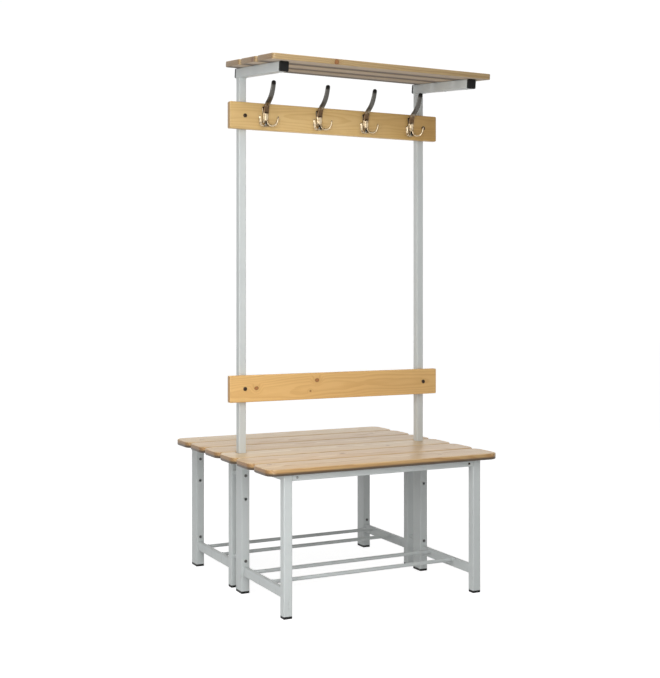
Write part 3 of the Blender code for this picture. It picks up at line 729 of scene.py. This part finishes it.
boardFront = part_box("backrest")[0].y
boardPlanks = {
    "hook_rail": {"heart": (0, -0.02, 1.515), "lean": (0, 0.006, 0.02), "seed": 36.5,
                  "early": srgb(248, 211, 144), "late": srgb(216, 172, 100), "figure": 0.36, "knots": [],
                  "tones": [(-0.12, -0.38, (0.76, 0.74, 0.70, 1.0)), (-0.02, 0.36, (0.74, 0.66, 0.48, 1.0)),
                            (0.22, 0.37, (0.90, 0.85, 0.76, 1.0))]},
    "backrest": {"heart": (0, -0.015, 0.640), "lean": (0, -0.01, 0.03), "seed": 41.2,
                 "early": srgb(241, 196, 126), "late": srgb(208, 154, 82), "figure": 0.38,
                 "knots": [(-0.289, boardFront, 0.645, 0.0062), (-0.075, boardFront, 0.663, 0.0066),
                           (-0.099, boardFront, 0.629, 0.0030)]},
}

for node, plank in boardPlanks.items():
    low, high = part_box(node)
    pine = makePine(node + "Pine", {**boardLook, **plank}, pineLook)
    outline = roundedRectangle(low.xz, high.xz, boardLook)
    mesh = slabMesh(node + "_plank", outline, low.y, high.y, boardLook, True)
    piece = newObject(node + "_plank", mesh, pine)
    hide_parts(node)
    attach(piece, "root")
print("planks made:", len(seatPlanks) + len(shelfPlanks) + len(boardPlanks))


# Coat hooks

millimetre = 0.001
plateLook = {"wide": 0.024, "waist": 0.0185, "tall": 0.064, "thick": 0.003, "corner": 0.006, "cornerSteps": 6,
             "step": 0.003, "edge": 0.0009, "edgeSteps": 2}
bossLook = {"wide": 0.017, "tall": 0.034, "deep": 0.009, "corner": 0.008, "cornerSteps": 8, "steps": 8,
            "top": (0.45, 0.3)}             # shares of width and height left at its front
prongLook = {
    "longWide": 0.019, "longThick": 0.007, "shortWide": 0.009, "shortThick": 0.0055,
    "spread": 45,               # degrees of a short prong from straight out
    "longWay": [(4.5, -8.5), (4.5, 8.5), (7.9, 36), (37.4, 48.8), (59.8, 74.2),
                (68, 102.8), (68, 106)],    # millimetres out and up
    "longSize": [1, 1, 0.98, 0.91, 0.84, 0.78, 0.77],
    "shortWay": [(7.4, -4.25), (7.2, -20.2), (17.1, -30.2), (33.3, -30.8), (43.7, -18.5),
                 (45, -3.4), (45, -1.1)],
    "shortSize": [1, 1, 0.97, 0.92, 0.88, 0.83, 0.82],
    "tipLength": 0.9, "tipEnd": 0.02,       # rounded tip, as shares of the thickness and of the size
    "steps": 60, "sides": 24, "square": 3.2,
}


def splineSpot(points, share):
    # Clamped cubic spline through control points of any length
    count = len(points)
    knots = [0] * 4 + [i / (count - 3) for i in range(1, count - 3)] + [1] * 4
    share = min(share, 1 - 1e-9)
    span = max(i for i in range(3, count) if knots[i] <= share)
    work = [Vector(points[span - 3 + i]) for i in range(4)]
    for level in range(1, 4):
        for i in range(3, level - 1, -1):
            first = knots[span - 3 + i]
            last = knots[i + 1 + span - level]
            blend = (share - first) / (last - first)
            work[i] = work[i - 1] * (1 - blend) + work[i] * blend
    return work[3]


def ovalSection(wide, thick, look):
    power = 2 / look["square"]
    spots = []
    for i in range(look["sides"]):
        angle = 2 * math.pi * (i + 0.5) / look["sides"]
        c, s = math.cos(angle), math.sin(angle)
        u = math.copysign(abs(c) ** power, c) * wide / 2
        v = math.copysign(abs(s) ** power, s) * thick / 2
        spots.append((u, v))
    return spots


def prongMesh(kind, turn, look):
    # Flat strap swept along a bent way, tapered, with a rounded tip
    thick = look[kind + "Thick"]
    out = Vector((math.sin(turn), -math.cos(turn), 0))
    side = Vector((math.cos(turn), math.sin(turn), 0))
    up = Vector((0, 0, 1))
    control = [(*spot, size) for spot, size in zip(look[kind + "Way"], look[kind + "Size"])]
    section = ovalSection(look[kind + "Wide"], thick, look)
    shares = [i / look["steps"] for i in range(look["steps"] + 1)]
    spots = [splineSpot(control, share) for share in shares]
    total = sum((b - a).xy.length for a, b in zip(spots, spots[1:]))
    bm = bmesh.new()
    rows, gone = [], 0.0
    for i, spot in enumerate(spots):
        before, after = spots[max(i - 1, 0)], spots[min(i + 1, look["steps"])]
        heading = (after - before).xy.normalized()
        if i:
            gone += (spot - spots[i - 1]).xy.length
        left = (total - gone) * millimetre / (thick * look["tipLength"])
        size = spot.z * (math.sqrt(max(1 - (1 - left) ** 2, look["tipEnd"])) if left < 1 else 1)
        middle = (out * spot.x + up * spot.y) * millimetre
        lift = up * heading.x - out * heading.y
        rows.append([bm.verts.new(middle + side * (u * size) + lift * (v * size)) for u, v in section])
    skinRows(bm, rows)
    closeEnds(bm, rows)
    return bmeshToMesh(bm, kind + "Prong")


def hookPlateMesh(look):
    # Back plate, drawn in at its waist
    half, tall = look["wide"] / 2, look["tall"] / 2
    outline = roundedRectangle((-half, -tall), (half, tall), look)
    dense = []
    for first, second in zip(outline, outline[1:] + outline[:1]):
        count = max(1, int(math.dist(first, second) / look["step"]))
        dense += [Vector(first).lerp(Vector(second), i / count) for i in range(count)]
    narrow = 1 - look["waist"] / look["wide"]
    drawn = [(u * (1 - narrow * math.cos(math.pi / 2 * min(abs(v) / tall, 1)) ** 2), v) for u, v in dense]
    return slabMesh("hookPlate", drawn, -look["thick"], 0, look, True)


def bossMesh(look, plateThick):
    # Rounded lump in the middle of the hook
    half, tall = look["wide"] / 2, look["tall"] / 2
    section = roundedRectangle((-half, -tall), (half, tall), look)
    start = -plateThick / 2
    deep = look["deep"] + plateThick / 2
    topWide, topTall = look["top"]
    bm = bmesh.new()
    rows = []
    for i in range(look["steps"] + 1):
        angle = math.pi / 2 * i / look["steps"]
        y = start - deep * math.sin(angle)
        wide = topWide + (1 - topWide) * math.cos(angle)
        high = topTall + (1 - topTall) * wide
        rows.append([bm.verts.new((u * wide, y, v * high)) for u, v in section])
    skinRows(bm, rows)
    closeEnds(bm, rows)
    return bmeshToMesh(bm, "hookBoss")


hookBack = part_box("coat_hook_1")[1].y
hookCentre = boxMiddle("hook_rail").z
hookSteel = makeHookSteel(hookCentre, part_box("hook_rail")[0].y, steelLook)
hookParts = [hookPlateMesh(plateLook), bossMesh(bossLook, plateLook["thick"])]
for kind, turn in (("long", 0), ("short", -prongLook["spread"]), ("short", prongLook["spread"])):
    hookParts.append(prongMesh(kind, math.radians(turn), prongLook))
hookShape = combined("hookShape", hookParts, "UNION")
hookSpots = []
for number in range(1, 5):
    node = f"coat_hook_{number}"
    hookX = boxMiddle(node).x
    hookSpots.append(hookX)
    mesh = hookShape.copy()
    mesh.transform(Matrix.Translation((hookX, hookBack, hookCentre)))
    piece = newObject(node + "_forged", mesh, hookSteel, smoothAngle=40)
    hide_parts(node)
    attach(piece, "root")
print("hooks made:", len(hookSpots))


# Rack rods, weld beads, screws and bolt heads

rodLook = {"sides": 32, "ends": 0.0015}
rods = [f"{bench}_{place}_rack_rod" for bench in benches for place in ("front", "rear")]

for node in rods:
    low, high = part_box(node)
    radius = (high.z - low.z) / 2
    half = (high.x - low.x) / 2
    end = rodLook["ends"]
    ring = [(radius - end + end * math.sin(a), half - end + end * math.cos(a))
            for a in (0, math.pi / 6, math.pi / 3, math.pi / 2)]
    profile = [(0, half)] + ring + [(r, -h) for r, h in reversed(ring)] + [(0, -half)]
    mesh = turnedMesh(node + "_bar", profile, rodLook["sides"])
    mesh.transform(Matrix.Translation(boxMiddle(node)) @ Matrix.Rotation(math.pi / 2, 4, "Y"))
    piece = newObject(node + "_bar", mesh, greyPaint)
    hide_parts(node)
    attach(piece, "root")

weldLook = {"radius": 0.0019, "ripple": 0.16, "pitch": 0.0026, "sides": 8, "step": 0.0007,
            "corner": 0.003, "cornerSteps": 4, "lift": 0.0001, "ringSteps": 24, "sink": 0.0004}


def evenWay(points, step):
    # Closed way through the points in even steps
    way = []
    for first, second in zip(points, points[1:] + points[:1]):
        count = max(1, round((second - first).length / step))
        way += [first.lerp(second, i / count) for i in range(count)]
    return way


def addBead(bm, points, look, guide=None):
    # Rippled bead round a closed way
    way = evenWay(points, look["step"])
    gone, rows = 0.0, []
    for i, spot in enumerate(way):
        heading = (way[(i + 1) % len(way)] - way[i - 1]).normalized()
        if i:
            gone += (spot - way[i - 1]).length
        size = look["radius"] * (1 + look["ripple"] * math.sin(2 * math.pi * gone / look["pitch"]))
        side = guide or (Vector((0, 1, 0)) if abs(heading.y) < 0.9 else Vector((0, 0, 1)))
        first = (side - heading * heading.dot(side)).normalized()
        second = heading.cross(first)
        rows.append([bm.verts.new(spot + first * u + second * v) for u, v in circle(size, look["sides"])])
    skinRows(bm, rows + rows[:1])


def railWelds():
    # Beads round the ends of the rack rails where they meet the legs
    bm = bmesh.new()
    for bench in benches:
        for side in sides:
            low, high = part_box(f"{bench}_rack_rail_{side}")
            outline = roundedRectangle(low.xz, high.xz, weldLook)
            for y in (low.y - weldLook["lift"], high.y + weldLook["lift"]):
                addBead(bm, [Vector((u, y, v)) for u, v in outline], weldLook)
    return bmeshToMesh(bm, "rack_rail_welds")


def rodWelds():
    # A ring bead where each end of a rod meets a rack rail
    bm = bmesh.new()
    for node in rods:
        low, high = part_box(node)
        middle = boxMiddle(node)
        ring = circle((high.z - low.z) / 2 - weldLook["sink"], weldLook["ringSteps"])
        for x in (low.x, high.x):
            points = [Vector((x, middle.y + u, middle.z + v)) for u, v in ring]
            addBead(bm, points, weldLook, Vector((1, 0, 0)))
    return bmeshToMesh(bm, "rack_rod_welds")


def armWelds():
    # Beads round the sloping tops of the uprights under the shelf arms
    bm = bmesh.new()
    for side in sides:
        low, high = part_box(f"upright_{side}")
        top = high.z + weldLook["lift"]
        outline = roundedRectangle(low.xy, high.xy, weldLook)
        points = [Vector((u, v, top - (high.y - v) * math.tan(shelfSlope))) for u, v in outline]
        addBead(bm, points, weldLook)
    return bmeshToMesh(bm, "shelf_arm_welds")


for mesh in (railWelds(), rodWelds(), armWelds()):
    piece = newObject(mesh.name, mesh, greyPaint, smoothAngle=60)
    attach(piece, "root")

screwLook = {"head": 0.0075, "tall": 0.0026, "lip": 0.35, "steps": 6, "sides": 24, "sink": 0.0004,
             "crossLong": 0.0042, "crossWide": 0.0009, "crossDeep": 0.0014,
             "hookRise": 0.024, "railInset": 0.0147, "rearShift": 0.020,
             "armTall": 0.0303}             # shelf arm with its gap under the slats
boltLook = {"lip": 0.3, "steps": 7, "sink": 0.0002, "socketDeep": 0.0020}
boardBoltLook = {**boltLook, "head": 0.0126, "tall": 0.0040, "sides": 32, "socket": 0.0050}
legBoltLook = {**boltLook, "head": 0.0096, "tall": 0.0038, "sides": 28, "socket": 0.0046,
               "rises": (0.102, 0.371)}
headTurns = {"hook": (0.4, 9), "rail": (0.7, 5), "seat": (0, 11), "shelf": (0, 13), "leg": (0, 7),
             "board": (0, 4)}               # radians: start, and more for each metre


def boxMesh(name, wide, deep, low, high):
    bm = bmesh.new()
    size = Matrix.Diagonal((wide, deep, high - low, 1))
    bmesh.ops.create_cube(bm, size=1, matrix=Matrix.Translation((0, 0, (low + high) / 2)) @ size)
    return bmeshToMesh(bm, name)


def headMesh(name, look):
    # Domed head above z = 0
    radius, lip, sink = look["head"] / 2, look["lip"], look["sink"]
    turns = [math.pi / 2 * i / look["steps"] for i in range(look["steps"] + 1)]
    dome = [(radius * math.sin(turn), look["tall"] * (lip + (1 - lip) * math.cos(turn))) for turn in turns]
    return turnedMesh(name, dome + [(radius, -sink), (0, -sink)], look["sides"])


def screwMesh(look):
    # Head with a cross recess
    floor, above = look["tall"] - look["crossDeep"], look["tall"] * 2
    bars = [boxMesh("crossBar", look["crossLong"], look["crossWide"], floor, above),
            boxMesh("crossBar", look["crossWide"], look["crossLong"], floor, above)]
    return combined("screwShape", [headMesh("screwHead", look)] + bars, "DIFFERENCE")


def boltMesh(look):
    # Head with a six-sided socket
    floor, above = look["tall"] - look["socketDeep"], look["tall"] * 2
    radius = look["socket"] / 2
    socket = turnedMesh("boltSocket", [(0, above), (radius, above), (radius, floor), (0, floor)], 6)
    return combined("boltShape", [headMesh("boltHead", look), socket], "DIFFERENCE")


screwShape = screwMesh(screwLook)
boardBoltShape = boltMesh(boardBoltLook)
legBoltShape = boltMesh(legBoltLook)
facingFront = Matrix.Rotation(math.pi / 2, 4, "X")       # turns up into -Y
facingDown = Matrix.Rotation(math.pi, 4, "X")


def headPlace(kind, spot, facing, way):
    # Heads stop at different turns, by where they stand
    start, rate = headTurns[kind]
    return Matrix.Translation(spot) @ facing @ Matrix.Rotation(start + way * rate, 4, "Z")


def addFasteners(name, template, places, material):
    piece = newObject(name, repeated(name, template, places), material)
    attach(piece, "root")


hookFace = hookBack - plateLook["thick"]
hookScrews = [headPlace("hook", (x, hookFace, hookCentre + rise), facingFront, x)
              for x in hookSpots for rise in (-screwLook["hookRise"], screwLook["hookRise"])]
addFasteners("hook_screws", screwShape, hookScrews, zincSteel)

railScrews = {"left": [], "right": []}
for bench in benches:
    for rail in ("front_rail", "rear_rail"):
        low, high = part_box(f"{bench}_{rail}")
        z = (low.z + high.z) / 2
        for side, x in (("left", low.x + screwLook["railInset"]), ("right", high.x - screwLook["railInset"])):
            railScrews[side].append(headPlace("rail", (x, low.y, z), facingFront, x))
addFasteners("rail_screws_left", screwShape, railScrews["left"], zincSteel)
addFasteners("rail_screws_right", screwShape, railScrews["right"], darkSteel)

slatScrews = []
for bench in benches:
    for number in (1, 2, 3):
        y = boxMiddle(f"{bench}_seat_slat_{number}").y - (screwLook["rearShift"] if number == 3 else 0)
        for side in sides:
            rail = f"{bench}_seat_rail_{side}"
            spot = (boxMiddle(rail).x, y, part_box(rail)[0].z)
            slatScrews.append(headPlace("seat", spot, facingDown, y))
addFasteners("seat_screws", screwShape, slatScrews, zincSteel)

shelfScrews = []
armFace = shelfLean @ Vector((0, 0, -shelfLook["thick"] / 2 - screwLook["armTall"]))    # from a slat's middle
for number in (1, 2, 3):
    slat = boxMiddle(f"shelf_slat_{number}")
    for side in sides:
        spot = Vector((boxMiddle(f"shelf_arm_{side}").x, slat.y, slat.z)) + armFace
        shelfScrews.append(headPlace("shelf", spot, shelfLean @ facingDown, slat.y))
addFasteners("shelf_screws", screwShape, shelfScrews, greyPaint)

legBolts = []
for bench in benches:
    for side in sides:
        cap = f"{bench}_foot_cap_rear_{side}"
        for rise in legBoltLook["rises"]:
            spot = (boxMiddle(cap).x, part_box(cap)[0].y, rise)
            legBolts.append(headPlace("leg", spot, facingFront, rise))
addFasteners("leg_bolt_heads", legBoltShape, legBolts, boltSteel)

boardBolts = []
for board in ("hook_rail", "backrest"):
    for side in sides:
        bolt = f"{board}_bolt_{side}"
        middle = boxMiddle(bolt)
        spot = (middle.x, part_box(board)[0].y, middle.z)
        boardBolts.append(headPlace("board", spot, facingFront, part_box(bolt)[0].x))
addFasteners("board_bolt_heads", boardBoltShape, boardBolts, darkSteel)
print("fasteners made")


# Finishes on the solids that stay as they are

for name, solid in cadNodes.items():
    if "cap" in name:
        finish = blackPlastic
    elif "bolt" in name:
        finish = darkSteel
    else:
        finish = greyPaint
    for holder in solid.material_slots:
        holder.material = finish
print("finishes set on", len(cadNodes), "nodes")


# Floor, light and camera

stageLook = {"floor": 0.62, "floorGlow": 0.84, "backdrop": 1.02, "ambient": 0.28, "size": 14, "drop": 0.0004,
             "roughness": 0.9}


def makeFloor(look):
    bm = bmesh.new()
    bmesh.ops.create_grid(bm, x_segments=4, y_segments=4, size=look["size"])
    material, tree, shader, _ = newMaterial("floorPale")
    floor = newObject("studioFloor", bmeshToMesh(bm, "studioFloor"), material)
    floor.location.z = -look["drop"]
    glow = times(tree, seenDirectly(tree), look["floorGlow"])
    feed(tree, shader, {
        "Base Color": (look["floor"], look["floor"], look["floor"], 1), "Roughness": look["roughness"],
        "Specular IOR Level": 0, "Emission Color": (1, 1, 1, 1), "Emission Strength": glow})


def makeWorld(look):
    world = bpy.data.worlds.new("studioWorld")
    scene.world = world
    world.use_nodes = True
    tree = world.node_tree
    tree.nodes.clear()
    strength = ramp(tree, seenDirectly(tree), 0, 1, look["ambient"], look["backdrop"], False)
    back = addNode(tree, "Background", {"Color": (1, 1, 1, 1), "Strength": strength})
    addNode(tree, "OutputWorld", {"Surface": back.outputs[0]})


lampLook = {
    "keyLamp": {"place": (-0.85, -1.5, 1.3), "aim": (-0.2, 0, 0.9), "wide": 0.8, "tall": 2.4, "power": 20},
    "sideLamp": {"place": (-4.4, -0.9, 1.35), "aim": (0, 0, 0.5), "wide": 1.2, "tall": 0.9, "power": 20},
    "topLamp": {"place": (-0.6, -0.4, 3.6), "aim": (0, 0, 0.4), "wide": 1.6, "tall": 1.6, "power": 24},
}


def makeLamps(look):
    for name, lamp in look.items():
        light = bpy.data.lights.new(name, "AREA")
        light.shape = "RECTANGLE"
        light.size = lamp["wide"]
        light.size_y = lamp["tall"]
        light.energy = lamp["power"]
        holder = bpy.data.objects.new(name, light)
        holder.location = lamp["place"]
        away = Vector(lamp["place"]) - Vector(lamp["aim"])
        holder.rotation_euler = away.to_track_quat("Z", "Y").to_euler()
        holder.visible_camera = False
        scene.collection.objects.link(holder)


cameraLook = {
    "place": (-1.747, -3.4555, 0.9629),
    "turn": -26.83,             # degrees round Z from facing +Y
    "lens": 61.818, "sensor": 36,
    "shiftY": -0.0752,
    "reach": 60,
}


def makeCamera(look):
    camera = bpy.data.cameras.new("photoCamera")
    camera.sensor_fit = "VERTICAL"
    camera.sensor_height = look["sensor"]
    camera.lens = look["lens"]
    camera.shift_y = look["shiftY"]
    camera.clip_end = look["reach"]
    holder = bpy.data.objects.new("photoCamera", camera)
    holder.location = look["place"]
    holder.rotation_euler = (math.pi / 2, 0, math.radians(look["turn"]))
    scene.collection.objects.link(holder)
    scene.camera = holder


makeFloor(stageLook)
makeWorld(stageLook)
makeLamps(lampLook)
makeCamera(cameraLook)
scene.view_settings.view_transform = "Standard"
print("stage, lamps and camera set")
